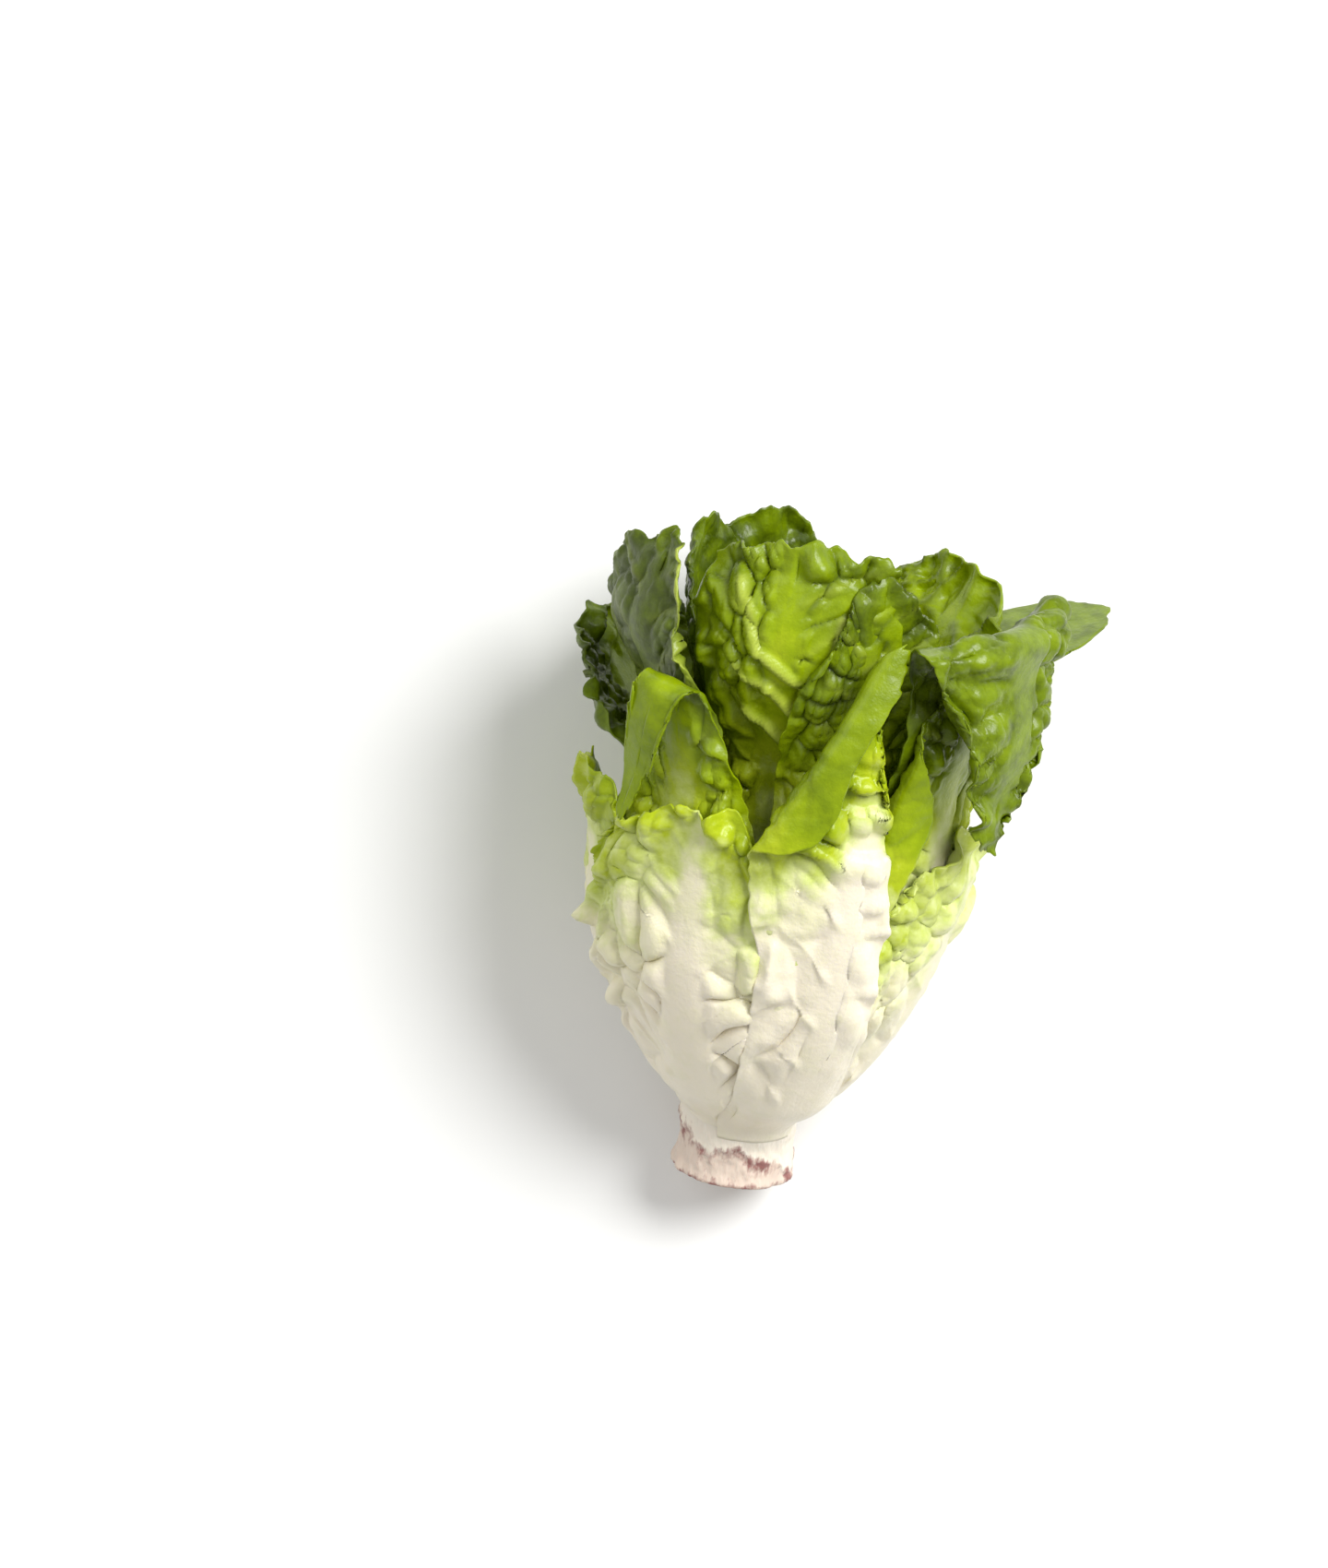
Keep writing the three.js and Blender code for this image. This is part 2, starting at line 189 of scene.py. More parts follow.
def noise(x, y, seed):
    """Smooth noise from -1 to 1, one wave about 2 wide."""
    i, j = np.floor(x).astype(np.int64), np.floor(y).astype(np.int64)
    fx, fy = x - i, y - j
    fx, fy = fx * fx * fx * (fx * (fx * 6 - 15) + 10), fy * fy * fy * (fy * (fy * 6 - 15) + 10)
    near = hashed(i, j, seed) * (1 - fx) + hashed(i + 1, j, seed) * fx
    far = hashed(i, j + 1, seed) * (1 - fx) + hashed(i + 1, j + 1, seed) * fx
    return 2 * (near * (1 - fy) + far * fy) - 1


def layered(x, y, seed):
    """Noise with finer noise on top."""
    coarse, middle = noise(x, y, seed), noise(2.1 * x, 2.1 * y, seed + 1)
    return (coarse + 0.5 * middle + 0.25 * noise(4.3 * x, 4.3 * y, seed + 2)) / 1.4


def cells(x, y, seed):
    """Irregular cells about 1 wide: how far inside its cell a point is, and a value that each cell has."""
    i, j = np.floor(x).astype(np.int64), np.floor(y).astype(np.int64)
    first, second = np.full(x.shape, 9.0), np.full(x.shape, 9.0)
    own = np.zeros(x.shape)
    for di in (-1, 0, 1):
        for dj in (-1, 0, 1):
            a, b = i + di, j + dj
            cx = a + 0.5 + 0.7 * (hashed(a, b, seed) - 0.5)
            cy = b + 0.5 + 0.7 * (hashed(a, b, seed + 7) - 0.5)
            away = np.hypot(x - cx, y - cy)
            nearer = away < first
            second = np.where(nearer, first, np.minimum(second, away))
            own = np.where(nearer, hashed(a, b, seed + 13), own)
            first = np.where(nearer, away, first)
    return second - first, own


def place(station, radius, bearing):
    """A point of the head: along its axis, out from it, and round it from the top."""
    return (
        np.array([0, 0, CUT_HEIGHT])
        + station[..., None] * AXIS
        + (radius * np.sin(bearing))[..., None] * SIDE
        + (radius * np.cos(bearing))[..., None] * UP
    )


def core_radius(station):
    along = np.clip((station - NECK) / CORE_LENGTH, 0, 1)
    return NECK_RADIUS * (1 - along**CORE_TAPER)


def envelope(station, bearing):
    """The outside of the closed head, held off the table."""
    past = np.maximum(station - NECK + 1, 0) / SHOULDER
    neck = NECK_RADIUS + ROOT_GAP + SHEET
    slim = smooth((station - NECK) / BASE_EASE)
    opened = neck + (HEAD_RADIUS - neck) * (1 - np.exp(-(past**SHOULDER_CURVE))) * slim
    closed = opened * (1 - TOP_CLOSING * smooth((station - TOP_STARTS) / TOP_LENGTH))
    down = np.maximum(-np.cos(bearing) * math.cos(LIE_ANGLE), 0.05)
    height = CUT_HEIGHT + station * math.sin(LIE_ANGLE) - SHEET / 2 - FLOOR_GAP
    held = height / down
    eased = (closed + held - np.hypot(closed - held, FLOOR_EASE)) / 2
    return np.where(-np.cos(bearing) * math.cos(LIE_ANGLE) < 0.05, closed, eased)


def layer_radius(layer, station, bearing):
    """A layer starts on the core, where its leaf is rooted, and moves out to its share of the way."""
    begun = np.maximum(np.maximum((station - NECK) / BASE_STEP, layer), 0.5)
    count = np.where(begun > LAYERS - 3, LAYERS - 3 * np.exp((LAYERS - 3 - begun) / 3), begun)
    root = core_radius(station) + ROOT_GAP + SHEET / 2
    crowded = 1 + CROWDING * smooth((station - CROWD_FROM) / CROWD_LENGTH)
    share = 1 - np.minimum(layer / count, 1) ** crowded
    return root + np.maximum(envelope(station, bearing) - root, 0) * share


def flared(leaf, station):
    reach, start, end = leaf.get("flare", (0, 0, 1))
    return reach * smooth((station - start) / (end - start))


def folded(leaf, station, across):
    """Turns the flat leaf by its folds: its new place, its height above the layer, and how far it turned."""
    s, q = station.copy(), across.copy()
    height, turned_over = np.zeros(s.shape), np.zeros(s.shape)
    for fold in leaf.get("folds", []):
        toward = math.radians(fold["toward"])
        ms, mq = math.cos(toward), math.sin(toward)
        beyond = np.maximum((s - fold["at"][0]) * ms + (q - fold["at"][1]) * mq, 0)
        full = math.radians(fold["angle"])
        turned = np.minimum(beyond / fold["radius"], full)
        rest = beyond - fold["radius"] * turned
        reach = fold["radius"] * np.sin(turned) + rest * np.cos(turned)
        height += fold["radius"] * (1 - np.cos(turned)) + rest * np.sin(turned)
        s += (reach - beyond) * ms
        q += (reach - beyond) * mq
        turned_over = np.maximum(turned_over, turned / full)
    return s, q, height, turned_over


def on_layer(leaf, layer, s, q, height):
    """The bearing and radius of a point of a leaf once it is wrapped round the head."""
    turn = math.radians(leaf["turn"])
    wrap = layer_radius(layer, s, np.full(s.shape, turn))
    bearing = turn + WRAP_LIMIT * np.tanh(q / wrap / WRAP_LIMIT)
    return bearing, layer_radius(layer, s, bearing) + flared(leaf, s) + height


def half_widths(leaf, u):
    return curve(leaf["left"], u), curve(leaf.get("right", leaf["left"]), u)


def room_outside(layer, s, bearing, radius):
    """How far a leaf can swell outwards before it meets the leaves that lie over it."""
    room = np.full(s.shape, 9.0)
    for outer, leaf in enumerate(LEAVES[:layer]):
        start = NECK + BASE_STEP * outer
        fold = leaf.get("folds", [{}])[0]
        end = fold["at"][0] + 4 if abs(fold.get("toward", 90)) < 20 else leaf["tip"]
        u = np.clip((s - start) / (leaf["tip"] - start), 0, 1)
        left, right = half_widths(leaf, u)
        turn = math.radians(leaf["turn"])
        wrap = layer_radius(outer, s, np.full(s.shape, turn))
        away = np.angle(np.exp(1j * (bearing - turn))) * wrap - leaf.get("bend", 0) * u * u
        inside = np.minimum(np.where(away < 0, left + away, right - away), end - s)
        covered = smooth((inside + 5) / 6)
        gap = layer_radius(outer, s, bearing) + flared(leaf, s) - radius - SHEET
        room = np.minimum(room, np.where(covered > 0, 0.45 * np.maximum(gap, 0) + (1 - covered) * 9, 9))
    return room


def relief(leaf, layer, s, q, left, right):
    """The leaf's swellings, in millimetres outwards, and what its colour follows."""
    seed = 31 * layer + 5
    start = NECK + BASE_STEP * layer
    t = np.clip((s - start) / (leaf["tip"] - start), 0, 1)
    across = np.abs(q)
    margin = np.minimum(np.where(q < 0, left, right) - across, (leaf["tip"] - s) * 0.9)
    margin = np.maximum(margin, 0)

    rib_half, rib_high = leaf["rib"]
    width = rib_half * (1 - t) ** 0.8 + 0.8
    rib = smooth(1.25 - across / (1.3 * width))
    blade = smooth((across - 0.8 * width) / 3.5) * smooth((margin + 1) / 6)

    warp = 0.4 * layered(s / 22, q / 18, seed)
    climb = s - 0.85 * across + 7 * warp
    phase = climb / VEIN_SPACING + 0.37 * (q > 0)
    to_vein = (0.5 - np.abs(phase - np.floor(phase) - 0.5)) * VEIN_SPACING * 0.76
    vein = np.exp(-((to_vein / (1.3 - 0.5 * t)) ** 2)) * smooth((across - 0.5 * width) / 3)
    vein *= smooth(margin / 10) * (1 - 0.4 * t)

    cell = leaf["cell"]
    x = (s - 0.3 * across) / cell + 0.7 * noise(s / 15, q / 15, seed + 8)
    y = 1.15 * q / cell + 0.7 * noise(s / 15, q / 15, seed + 9)
    inside, own = cells(x, y, seed + 11)
    blister = (1 - np.exp(-3.2 * inside)) * (0.35 + own)
    fine, fine_own = cells(2.4 * x, 2.4 * y, seed + 17)
    pucker = (1 - np.exp(-3 * fine)) * (0.3 + 0.7 * fine_own)
    # Painted shade mask: high in the valleys between the blisters, where the leaf colour is darkened as if in
    # shade.
    painted_valley_shade = np.exp(-6 * inside)

    white_to, green_from = leaf["green"]
    leafy = smooth((s + 0.5 * across - white_to) / (green_from - white_to) * 1.6)
    swell = leaf["puff"] * blade * (1.05 * blister + 0.4 * leafy * pucker - 0.35 * vein - 0.5)
    swell += 1.5 * noise(s / 27, q / 22, seed + 23) * smooth((s - start) / 25)

    turns = (s + 1.1 * across) / 15 + 0.9 * noise(s / 24, np.sign(q) + 0 * q, seed + 29)
    wave = np.sin(2 * math.pi * turns + 1.6 * np.sign(q))
    crumple = 1 - 2.4 * np.abs(noise(s / 7, q / 7, seed + 37)) + 0.5 * noise(s / 3, q / 3, seed + 38)
    near_margin = smooth(1 - margin / 16)
    swell += leaf["ruffle"] * near_margin * (0.7 * wave + 0.7 * crumple) * smooth((s - 30) / 30)

    if "wrinkle" in leaf:
        depth, low, high = leaf["wrinkle"]
        zone = smooth((s - low) / 12) * smooth((high - s) / 10) * smooth((margin + 4) / 6)
        bent = s + 6 * noise(q / 14, s / 40, seed + 41)
        swell += depth * zone * (0.9 - 2 * np.abs(noise(bent / 4.2, q / 17, seed + 43)))

    crease = np.zeros(s.shape)
    for cs, cq, ds, dq, depth in leaf.get("dents", []):
        swell -= depth * np.exp(-(((s - cs) / ds) ** 2) - ((q - cq) / dq) ** 2)
    for (s1, q1), (s2, q2), half_width, high in leaf.get("ridges", []):
        long2 = (s2 - s1) ** 2 + (q2 - q1) ** 2
        along = np.clip(((s - s1) * (s2 - s1) + (q - q1) * (q2 - q1)) / long2, 0, 1)
        apart = np.hypot(s - s1 - along * (s2 - s1), q - q1 - along * (q2 - q1))
        shape = np.exp(-((apart / half_width) ** 2))
        swell += high * shape
        crease = np.maximum(crease, shape)

    reach = s + 0.55 * np.maximum(across - width, 0) - 8 * rib + 9 * layered(s / 14, q / 14, seed + 47)
    green = np.clip((reach - white_to) / (green_from - white_to), 0, 1.1) * 0.86
    return swell, dict(rib=rib, rib_high=rib_high * rib * (1 - t) ** 1.3, vein=vein, painted_valley_shade=painted_valley_shade * blade,
                       green=green, ridge=crease, margin=margin)


def grid_normals(points):
    along = np.gradient(points, axis=0)
    over = np.gradient(points, axis=1)
    normal = np.cross(over, along)
    return normal / np.maximum(np.linalg.norm(normal, axis=2, keepdims=True), 1e-9)


def leaf_grid(leaf, layer, rows, columns):
    """Both faces of a leaf as grids of points, and what its colour follows."""
    start = NECK + BASE_STEP * layer
    length = leaf["tip"] - start
    u, v = np.meshgrid(np.linspace(0, 1, rows), np.linspace(-1, 1, columns), indexing="ij")
    left, right = half_widths(leaf, u)
    seed = 31 * layer + 5
    torn = 0.8 * layered(u * length / 8, np.sign(v), seed + 53)
    torn = torn + 0.3 * noise(u * length / 2.4, np.sign(v), seed + 59)
    torn *= (0.4 + 0.4 * leaf["ruffle"]) * smooth(u / 0.25) * np.abs(v) ** 3
    half = np.where(v < 0, left, right)
    q0 = v * half + np.sign(v) * torn
    ragged = 1 + 0.014 * (0.5 + leaf["ruffle"]) * layered(v * 3.5, v * 0, seed + 61) * u**8
    s0 = start + length * u * ragged * (1 - leaf.get("round", TIP_ROUNDING) * v * v * u * u)

    swell, marks = relief(leaf, layer, s0, q0, left, right)
    s, q, height, over = folded(leaf, s0, q0 + leaf.get("bend", 0) * u * u)
    bearing, radius = on_layer(leaf, layer, s, q, height)
    room = room_outside(layer, s, bearing, radius - height)
    flap = smooth(over * 2)
    top = room + (LEAST_ROOM - np.minimum(room, LEAST_ROOM)) * flap
    swell = swell * smooth((s0 - start) / SMOOTH_BASE) * (1 - (1 + leaf.get("flap_puff", 0.12)) * flap)
    swell = np.where(swell > 0, MOST_SWELL * np.tanh(swell / MOST_SWELL), swell)
    swell = np.minimum(swell, top)
    deepest = 8.0 if "dents" in leaf else 1.4 + 2 * flap
    swell = np.where(swell < 0, deepest * np.tanh(swell / deepest), swell)
    marks["green"] = marks["green"] * (1 - leaf.get("flap_pale", 0.16) * flap)
    marks["painted_valley_shade"] = marks["painted_valley_shade"] * (1 - 0.7 * flap)
    radius = radius - (ROOT_GAP + 0.8 * SHEET) * (1 - smooth((s0 - start) / 7))
    points = place(s, radius, bearing)
    normal = grid_normals(points)
    points = points + swell[..., None] * normal
    normal = grid_normals(points)

    thick = SHEET * (0.42 + 0.58 * smooth(marks["margin"] / 9))
    raised = marks["rib_high"] * smooth(u / 0.1) + 0.9 * marks["vein"]
    raised = np.minimum(raised, np.maximum(room - np.maximum(swell, 0), 0.3) + 3 * flap)
    outside = points + (thick / 2 + raised)[..., None] * normal
    inside = points - (thick / 2)[..., None] * normal
    for side in (outside, inside):
        side[..., 2] = np.maximum(side[..., 2], 0.15)
    marks["dull"] = leaf["dull"]
    return outside, inside, marks


def shell(name, outside, inside, marks):
    """A closed mesh from the two faces of a leaf, with a rim between them, in metres."""
    rows, columns = outside.shape[:2]
    count = rows * columns
    index = np.arange(count).reshape(rows, columns)
    a, b, c, d = index[:-1, :-1], index[:-1, 1:], index[1:, 1:], index[1:, :-1]
    front = np.stack([a, b, c, d], -1).reshape(-1, 4)
    back = np.stack([a, d, c, b], -1).reshape(-1, 4) + count
    edge = np.concatenate([index[0, ::-1], index[1:, 0], index[-1, 1:], index[-2:0:-1, -1]])
    after = np.roll(edge, -1)
    rim = np.stack([edge, after, after + count, edge + count], -1)
    faces = np.concatenate([front, back, rim])
    points = np.concatenate([outside.reshape(-1, 3), inside.reshape(-1, 3)])
    mesh = mesh_from(name, points, faces)
    face_side = np.concatenate([np.ones(count), np.zeros(count)])
    values = {key: np.tile(marks[key].ravel(), 2) for key in ("green", "painted_valley_shade", "ridge")}
    values["vein"] = np.concatenate([marks["vein"].ravel(), 0.15 * marks["vein"].ravel()])
    values["bloom"] = face_side * marks["dull"] * np.tile(smooth((marks["margin"] - 3) / 4).ravel(), 2)
    for key, value in values.items():
        layer = mesh.attributes.new(key, "FLOAT", "POINT")
        layer.data.foreach_set("value", value.astype(np.float32))
    return mesh


def mesh_from(name, points, faces):
    mesh = bpy.data.meshes.new(name)
    mesh.vertices.add(len(points))
    mesh.vertices.foreach_set("co", ((points + origin) / 1000).astype(np.float32).ravel())
    mesh.loops.add(faces.size)
    mesh.loops.foreach_set("vertex_index", faces.astype(np.int32).ravel())
    mesh.polygons.add(len(faces))
    mesh.polygons.foreach_set("loop_start", np.arange(len(faces), dtype=np.int32) * faces.shape[1])
    mesh.update(calc_edges=True)
    mesh.validate()
    mesh.polygons.foreach_set("use_smooth", np.ones(len(mesh.polygons), bool))
    return mesh


def add_piece(mesh, material, node):
    mesh.materials.append(material)
    piece = bpy.data.objects.new(mesh.name, mesh)
    bpy.context.scene.collection.objects.link(piece)
    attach(piece, "root")
    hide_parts(node)
    return piece


# Materials. Each pattern's scale is how many of its coarsest marks there are in a metre.
MOTTLE_SCALE = 190.0  # marks of 5.3 mm
SPECK_SCALE = 1100.0  # 0.9 mm
STREAK_SCALE = 700.0  # 1.4 mm
STAIN_SCALE = 260.0  # 3.8 mm


def linear(colour):
    """An sRGB hex colour as linear values with full alpha."""
    parts = [int(colour[i : i + 2], 16) / 255 for i in (1, 3, 5)]
    return [c / 12.92 if c <= 0.04045 else ((c + 0.055) / 1.055) ** 2.4 for c in parts] + [1.0]


def add(tree, kind, inputs=None, **settings):
    """Adds a node, sets it, and links or fills its inputs."""
    made = tree.nodes.new(kind)
    for key, value in settings.items():
        setattr(made, key, value)
    for key, value in (inputs or {}).items():
        if isinstance(value, bpy.types.NodeSocket):
            tree.links.new(value, made.inputs[key])
        else:
            made.inputs[key].default_value = value
    return made


def new_material(name):
    material = bpy.data.materials.new(name)
    material.use_nodes = True
    material.node_tree.nodes.clear()
    return material, material.node_tree


def leaf_material(name, stops, bloom_tint, vein_tint, painted_shade_tint, ridge_tint):
    """Lettuce leaf: a thin, juicy sheet that grew faster between its veins, so it blistered, under a skin of
    wax. A little light comes through it, the blisters shine, and old outer faces have a grey bloom. Veins
    are paler than the green between them, and the valleys between the blisters are painted darker as shade."""
    material, tree = new_material(name)
    mark = {
        key: add(tree, "ShaderNodeAttribute", attribute_name=key).outputs["Fac"]
        for key in ("green", "vein", "painted_valley_shade", "ridge", "bloom")
    }
    where = add(tree, "ShaderNodeTexCoord").outputs["Object"]
    mottle = add(tree, "ShaderNodeTexNoise", {
        "Vector": where, "Scale": MOTTLE_SCALE, "Detail": 4.0, "Roughness": 0.6})
    speck = add(tree, "ShaderNodeTexNoise", {"Vector": where, "Scale": SPECK_SCALE, "Detail": 2.0})
    shift = add(tree, "ShaderNodeMath", {
        0: mottle.outputs["Fac"], 1: 0.4, 2: -0.2}, operation="MULTIPLY_ADD")
    level = add(tree, "ShaderNodeMath", {0: mark["green"], 1: shift.outputs[0]}, operation="ADD")
    ramp = add(tree, "ShaderNodeValToRGB", {"Fac": level.outputs[0]})
    elements = ramp.color_ramp.elements
    while len(elements) < len(stops):
        elements.new(0.5)
    for element, (position, colour) in zip(elements, stops):
        element.position = position
        element.color = linear(colour)
    in_green = add(tree, "ShaderNodeMapRange", {"Value": mark["green"], "From Min": 0.3, "From Max": 0.8})
    # Painted shade: in the valleys between the blisters the green is darkened towards the fourth colour, more
    # so where the leaf is green.
    crease = add(tree, "ShaderNodeMath", {0: mark["painted_valley_shade"], 1: in_green.outputs[0]}, operation="MULTIPLY")
    painted_shade_share = add(tree, "ShaderNodeMath", {0: crease.outputs[0], 1: 0.75}, operation="MULTIPLY")
    shade_painted = mixed(tree, painted_shade_share.outputs[0], ramp.outputs["Color"], linear(painted_shade_tint))
    line = add(tree, "ShaderNodeMath", {0: mark["vein"], 1: in_green.outputs[0]}, operation="MULTIPLY")
    line_share = add(tree, "ShaderNodeMath", {0: line.outputs[0], 1: 0.45}, operation="MULTIPLY")
    veined = mixed(tree, line_share.outputs[0], shade_painted, linear(vein_tint))
    patchy = add(tree, "ShaderNodeMapRange", {
        "Value": mottle.outputs["Fac"], "From Min": 0.35, "From Max": 0.6, "To Min": 0.6})
    bloom = add(tree, "ShaderNodeMath", {0: mark["bloom"], 1: patchy.outputs[0]}, operation="MULTIPLY")
    bloom_share = add(tree, "ShaderNodeMath", {
        0: bloom.outputs[0], 1: in_green.outputs[0]}, operation="MULTIPLY")
    dusty = mixed(tree, bloom_share.outputs[0], veined, linear(bloom_tint))
    ridge_share = add(tree, "ShaderNodeMath", {0: mark["ridge"], 1: 0.7}, operation="MULTIPLY")
    bloomed = mixed(tree, ridge_share.outputs[0], dusty, linear(ridge_tint))
    bump = add(tree, "ShaderNodeBump", {
        "Height": speck.outputs["Fac"], "Strength": 0.3, "Distance": 0.0003})
    rumple = add(tree, "ShaderNodeBump", {
        "Height": mottle.outputs["Fac"], "Strength": 0.4, "Distance": 0.0009, "Normal": bump.outputs[0]})
    rough = add(tree, "ShaderNodeMapRange", {"Value": mark["bloom"], "To Min": 0.36, "To Max": 0.58})
    shader = add(tree, "ShaderNodeBsdfPrincipled", {
        "Base Color": bloomed, "Roughness": rough.outputs[0], "IOR": 1.42, "Specular IOR Level": 0.4,
        "Subsurface Weight": 0.12, "Subsurface Radius": (1.0, 0.9, 0.3), "Subsurface Scale": 0.0009,
        "Coat Weight": 0.1, "Coat Roughness": 0.2, "Normal": rumple.outputs[0]})
    add(tree, "ShaderNodeOutputMaterial", {"Surface": shader.outputs[0]})
    return material


def mixed(tree, share, first, second):
    """One colour laid over another by a share from 0 to 1."""
    return add(tree, "ShaderNodeMix", {0: share, 6: first, 7: second}, data_type="RGBA").outputs[2]


def stem_material():
    """Cut lettuce stem: wet ivory flesh. Its sap dries pink-brown in ragged streaks along the leaf scars and
    on the rim of the cut, and leaves the trimmed face a dull pinkish cream."""
    material, tree = new_material("lettuce_stem_flesh")
    where = add(tree, "ShaderNodeTexCoord").outputs["Object"]
    scar = add(tree, "ShaderNodeAttribute", attribute_name="scar").outputs["Fac"]
    trimmed = add(tree, "ShaderNodeAttribute", attribute_name="trimmed").outputs["Fac"]
    grain = add(tree, "ShaderNodeVectorMath", {0: where, 1: (1.0, 0.3, 1.0)}, operation="MULTIPLY")
    streak = add(tree, "ShaderNodeTexNoise", {
        "Vector": grain.outputs[0], "Scale": STREAK_SCALE, "Detail": 4.0, "Roughness": 0.65})
    rough = add(tree, "ShaderNodeTexNoise", {
        "Vector": where, "Scale": STAIN_SCALE, "Detail": 5.0, "Roughness": 0.6})
    flesh = mixed(tree, trimmed, linear("#efe6d6"), linear("#dfcdbd"))
    stain = add(tree, "ShaderNodeMath", {
        0: streak.outputs["Fac"], 1: rough.outputs["Fac"]}, operation="ADD")
    stained = add(tree, "ShaderNodeMath", {0: stain.outputs[0], 1: 2.4, 2: -2.5}, operation="MULTIPLY_ADD")
    level = add(tree, "ShaderNodeMath", {0: scar, 1: stained.outputs[0]}, operation="ADD")
    share = add(tree, "ShaderNodeMapRange", {
        "Value": level.outputs[0], "From Min": 0.35, "From Max": 1.1, "To Max": 0.9})
    tint = mixed(tree, share.outputs[0], flesh, linear("#8c524f"))
    bump = add(tree, "ShaderNodeBump", {
        "Height": streak.outputs["Fac"], "Strength": 0.5, "Distance": 0.0007})
    shader = add(tree, "ShaderNodeBsdfPrincipled", {
        "Base Color": tint, "Roughness": 0.5, "IOR": 1.4, "Subsurface Weight": 0.2,
        "Subsurface Radius": (1.2, 0.8, 0.6), "Subsurface Scale": 0.0012, "Normal": bump.outputs[0]})
    add(tree, "ShaderNodeOutputMaterial", {"Surface": shader.outputs[0]})
    return material


def scar_station(bearing):
    """The station of the line where the outer leaves were pulled off, round the stem."""
    slant = 7.2 - 3.4 * np.sin(bearing)
    ragged = np.sin(7 * bearing + 2.0) + 0.4 * np.sin(17 * bearing)
    return slant + 1.6 * np.sin(3 * bearing + 0.6) + ragged


def stem_mesh():
    """The stem, its scars and its cut face, with the core that tapers up inside the head."""
    rings, sides = 120, 220
    bearing = np.linspace(0, 2 * math.pi, sides, endpoint=False)
    below_leaves = np.linspace(0, 20, 90)
    inside_head = np.linspace(20.5, NECK + CORE_LENGTH - 0.5, rings - 90)
    length = np.concatenate([below_leaves, inside_head])
    s, phi = np.meshgrid(length, bearing, indexing="ij")
    waist = np.where(s < COLLAR, STEM_RADIUS + (NECK_RADIUS - STEM_RADIUS) * s / COLLAR, NECK_RADIUS)
    r = np.where(s < NECK, waist, core_radius(s))
    line = scar_station(phi)
    below = smooth((line - s) / 1.2)
    scar = np.exp(-(((s - line) / np.where(s > line, 1.1, 3.0)) ** 2))
    scar = scar * (0.85 + 0.45 * noise(phi * 6, s / 5, 13))
    low_rim = np.exp(-((s / 1.3) ** 2))
    r = r + 0.3 - 0.45 * below * smooth(s / 3) + 0.35 * scar * (1 + noise(phi * 9, s, 3))
    shown = smooth((14 - s) / 4)
    r = r + 0.35 * noise(phi * 5, s / 4, 5) * shown + 0.15 * noise(phi * 22, s / 1.5, 6) * shown
    r = r - 0.3 * np.exp(-((s / 0.4) ** 2))
    side = place(s, r, phi)
    cut = []
    for share in (0.9, 0.7, 0.45, 0.2):
        radius = r[0] * share
        dip = 0.5 * noise(radius * np.cos(bearing) / 4, radius * np.sin(bearing) / 4, 9) + 0.6
        cut.append(place(dip * (1 - share**4), radius, bearing))
    cut_centre = place(np.array([0.7]), np.array([0.0]), np.array([0.0]))
    tip = place(np.array([float(NECK + CORE_LENGTH)]), np.array([0.0]), np.array([0.0]))
    points = np.concatenate([side.reshape(-1, 3), *cut, cut_centre, tip])

    def ring(k):
        return k * sides + np.arange(sides)

    faces = []
    for k in range(rings - 1):
        a, b = ring(k), ring(k + 1)
        faces.append(np.stack([a, b, np.roll(b, -1), np.roll(a, -1)], -1))
    order = [ring(0)] + [ring(rings + k) for k in range(4)]
    for a, b in zip(order, order[1:]):
        faces.append(np.stack([a, np.roll(a, -1), np.roll(b, -1), b], -1))
    quads = np.concatenate(faces)
    centre_at, tip_at = len(points) - 2, len(points) - 1
    last = order[-1]
    cap = np.stack([last, np.roll(last, -1), np.full(sides, centre_at)], -1)
    end = ring(rings - 1)
    top = np.stack([end, np.full(sides, tip_at), np.roll(end, -1)], -1)
    mesh = bpy.data.meshes.new("cut_stem_flesh")
    mesh.from_pydata(((points + origin) / 1000).tolist(), [], quads.tolist() + cap.tolist() + top.tolist())
    mesh.polygons.foreach_set("use_smooth", np.ones(len(mesh.polygons), bool))
    stains = np.maximum(scar, low_rim * (0.8 + 0.4 * noise(phi * 5, s, 15)))
    for key, side_value, cut_value in (("scar", stains, 0.3), ("trimmed", below, 1.0)):
        value = np.concatenate([side_value.ravel(), np.full(4 * sides + 2, cut_value)])
        layer = mesh.attributes.new(key, "FLOAT", "POINT")
        layer.data.foreach_set("value", value.astype(np.float32))
    return mesh


# The head is where the solid model's cut stem is: the middle of the cut end is the frame's first point.
stem_points = np.array([v.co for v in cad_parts["cut_stem"].data.vertices], float) * 1000
along_axis = stem_points @ AXIS
cut_end = stem_points[along_axis < along_axis.min() + 0.05]
origin = (cut_end.min(0) + cut_end.max(0)) / 2 - np.array([0, 0, CUT_HEIGHT])

# An outer leaf has grown in the light, so only its foot is white. A heart leaf has grown in the dark inside
# the head and is yellow almost to its tip. The stops run from the foot to the tip.
GREEN_STOPS = [
    (0.0, "#efe6cf"), (0.2, "#e6e2bb"), (0.34, "#ccd682"), (0.48, "#b0c01c"),
    (0.66, "#93a900"), (0.88, "#6f8400"), (1.0, "#465605"),
]
HEART_STOPS = [
    (0.0, "#f1ead2"), (0.3, "#eae8b0"), (0.52, "#cad850"), (0.75, "#a6bd16"), (1.0, "#8aa30a"),
]
# The fourth colour of each is the painted shade laid into the valleys between the blisters.
green_leaf = leaf_material("lettuce_leaf_green", GREEN_STOPS, "#4c5628", "#adbb45", "#2f3f02", "#b6c450")
heart_leaf = leaf_material("lettuce_leaf_heart", HEART_STOPS, "#b9c368", "#dbe0a0", "#8da425", "#dbe0a0")

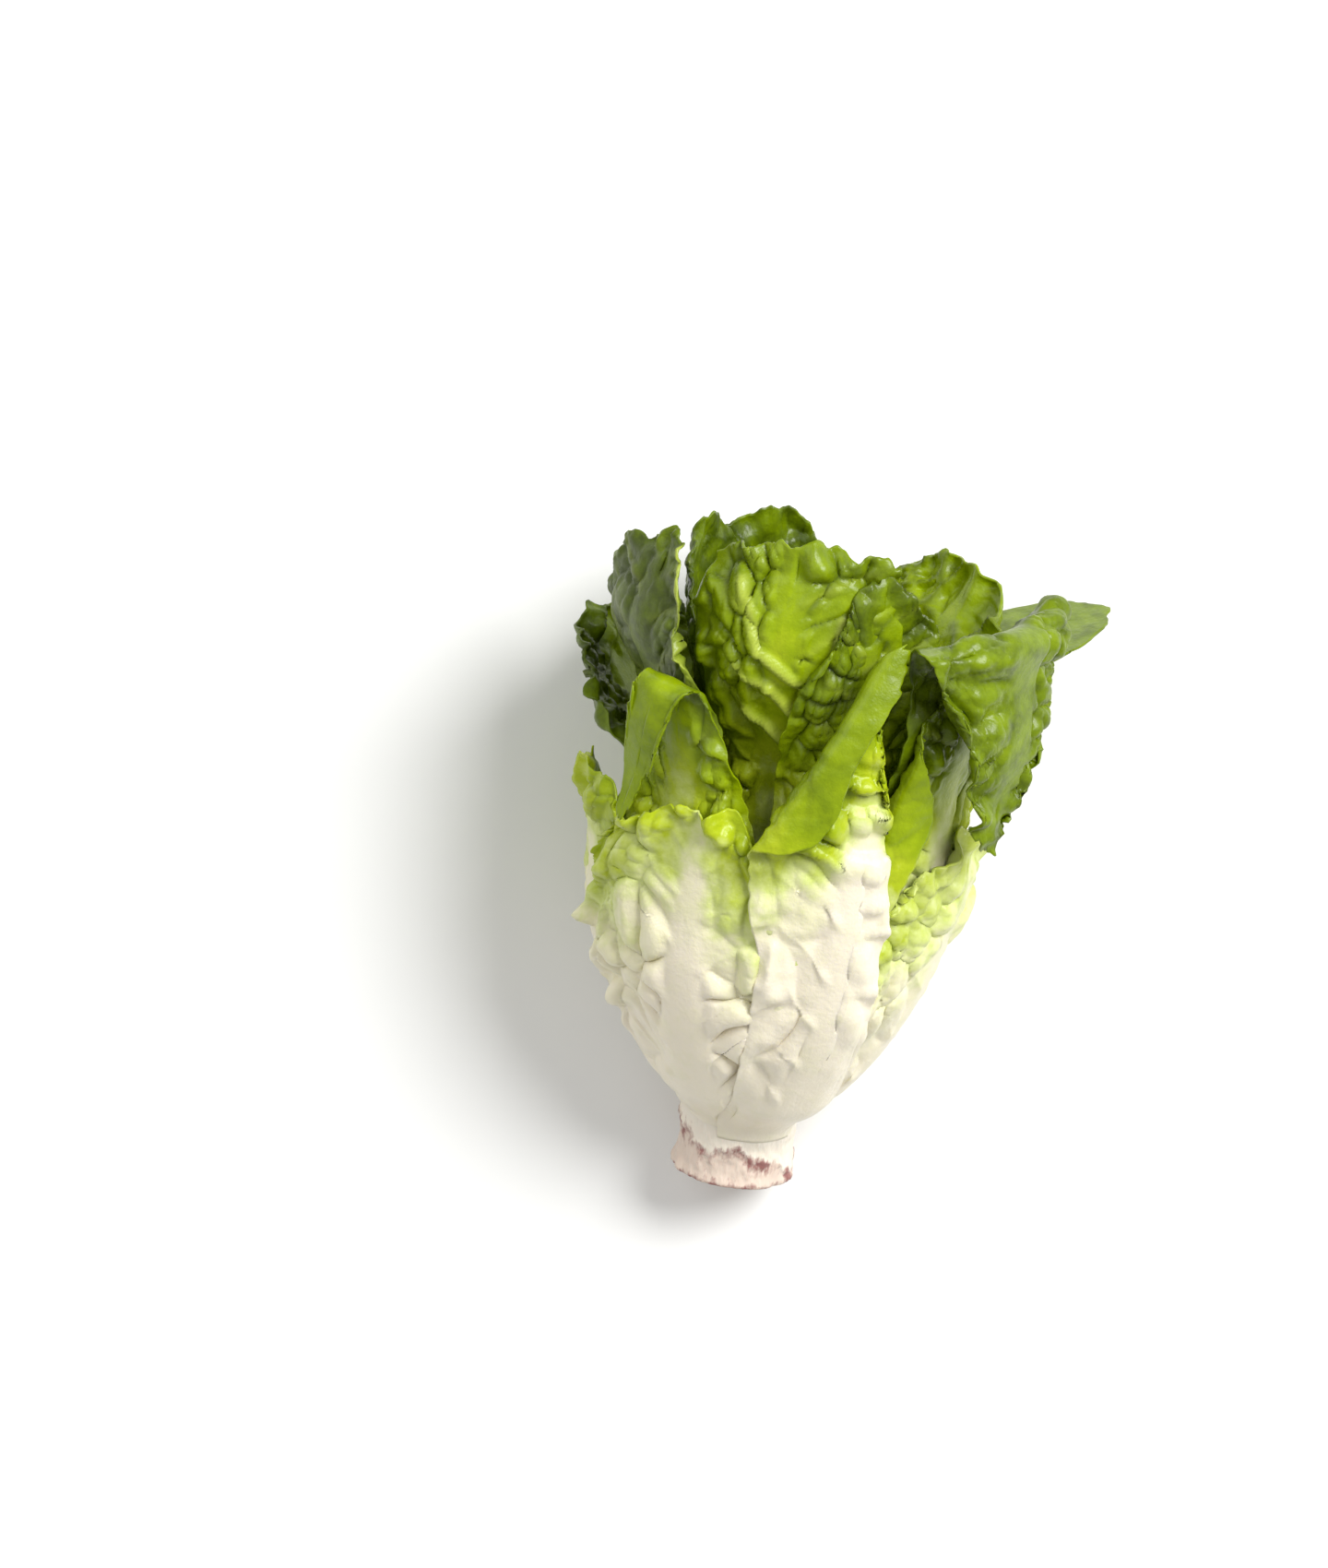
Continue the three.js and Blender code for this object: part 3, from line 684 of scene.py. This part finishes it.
for layer, leaf in enumerate(LEAVES):
    heart = layer >= HEART_FROM
    rows, columns = HIDDEN_GRID if heart or leaf["name"] in HIDDEN_LEAVES else OPEN_GRID
    outside, inside, marks = leaf_grid(leaf, layer, rows, columns)
    mesh = shell(leaf["name"] + "_blade", outside, inside, marks)
    material, slot = (heart_leaf, "heart_leaf") if heart else (green_leaf, "green_leaf")
    add_piece(mesh, material, leaf["name"])
add_piece(stem_mesh(), stem_material(), "cut_stem")


# The table, the light and the camera, in metres.
floor_mesh = bpy.data.meshes.new("table_top")
floor_mesh.from_pydata([(-2, -2, 0), (2, -2, 0), (2, 2, 0), (-2, 2, 0)], [], [(0, 1, 2, 3)])
floor = bpy.data.objects.new("table_top", floor_mesh)
bpy.context.scene.collection.objects.link(floor)
floor_material, floor_tree = new_material("white_laminate")
# White laminate: a hard, even sheet with a matt finish.
floor_shader = add(floor_tree, "ShaderNodeBsdfPrincipled", {
    "Base Color": linear("#f2f2f0"), "Roughness": 0.7})
add(floor_tree, "ShaderNodeOutputMaterial", {"Surface": floor_shader.outputs[0]})
floor_mesh.materials.append(floor_material)


def softbox(name, place_at, aim_at, size, watts):
    lamp = bpy.data.lights.new(name, "AREA")
    lamp.shape, lamp.size, lamp.energy = "DISK", size, watts
    made = bpy.data.objects.new(name, lamp)
    made.location = place_at
    made.rotation_euler = (Vector(aim_at) - Vector(place_at)).to_track_quat("-Z", "Y").to_euler()
    bpy.context.scene.collection.objects.link(made)


softbox("key_softbox", (0.62, 0.55, 1.1), (0, 0, 0.04), 0.75, 22)
softbox("fill_softbox", (-0.8, 0.3, 1.1), (0, 0, 0.04), 1.2, 5)
world = bpy.data.worlds.new("studio")
world.use_nodes = True
world.node_tree.nodes["Background"].inputs["Color"].default_value = (1, 1, 1, 1)
world.node_tree.nodes["Background"].inputs["Strength"].default_value = 0.4
bpy.context.scene.world = world
bpy.context.scene.view_settings.view_transform = "Standard"

camera_data = bpy.data.cameras.new("overhead")
camera_data.lens = 200
camera = bpy.data.objects.new("overhead", camera_data)
bpy.context.scene.collection.objects.link(camera)
LEAN = math.radians(8)  # the camera is turned this much about the vertical
FRAME_HIGH = 0.34  # the height the camera sees, and where the end of the stem is from its middle
STEM_RIGHT = 0.0148
STEM_DOWN = 0.0836
MIDDLE_HIGH = 0.035
HALF_SENSOR = 18
distance = FRAME_HIGH / 2 / math.tan(math.atan(HALF_SENSOR / camera_data.lens))
right = Vector((math.cos(LEAN), math.sin(LEAN), 0))
up = Vector((-math.sin(LEAN), math.cos(LEAN), 0))
stem_end = Vector(origin / 1000)
camera.location = stem_end - right * STEM_RIGHT + up * STEM_DOWN
camera.location.z = MIDDLE_HIGH + distance
camera.rotation_euler = (0, 0, LEAN)
bpy.context.scene.camera = camera
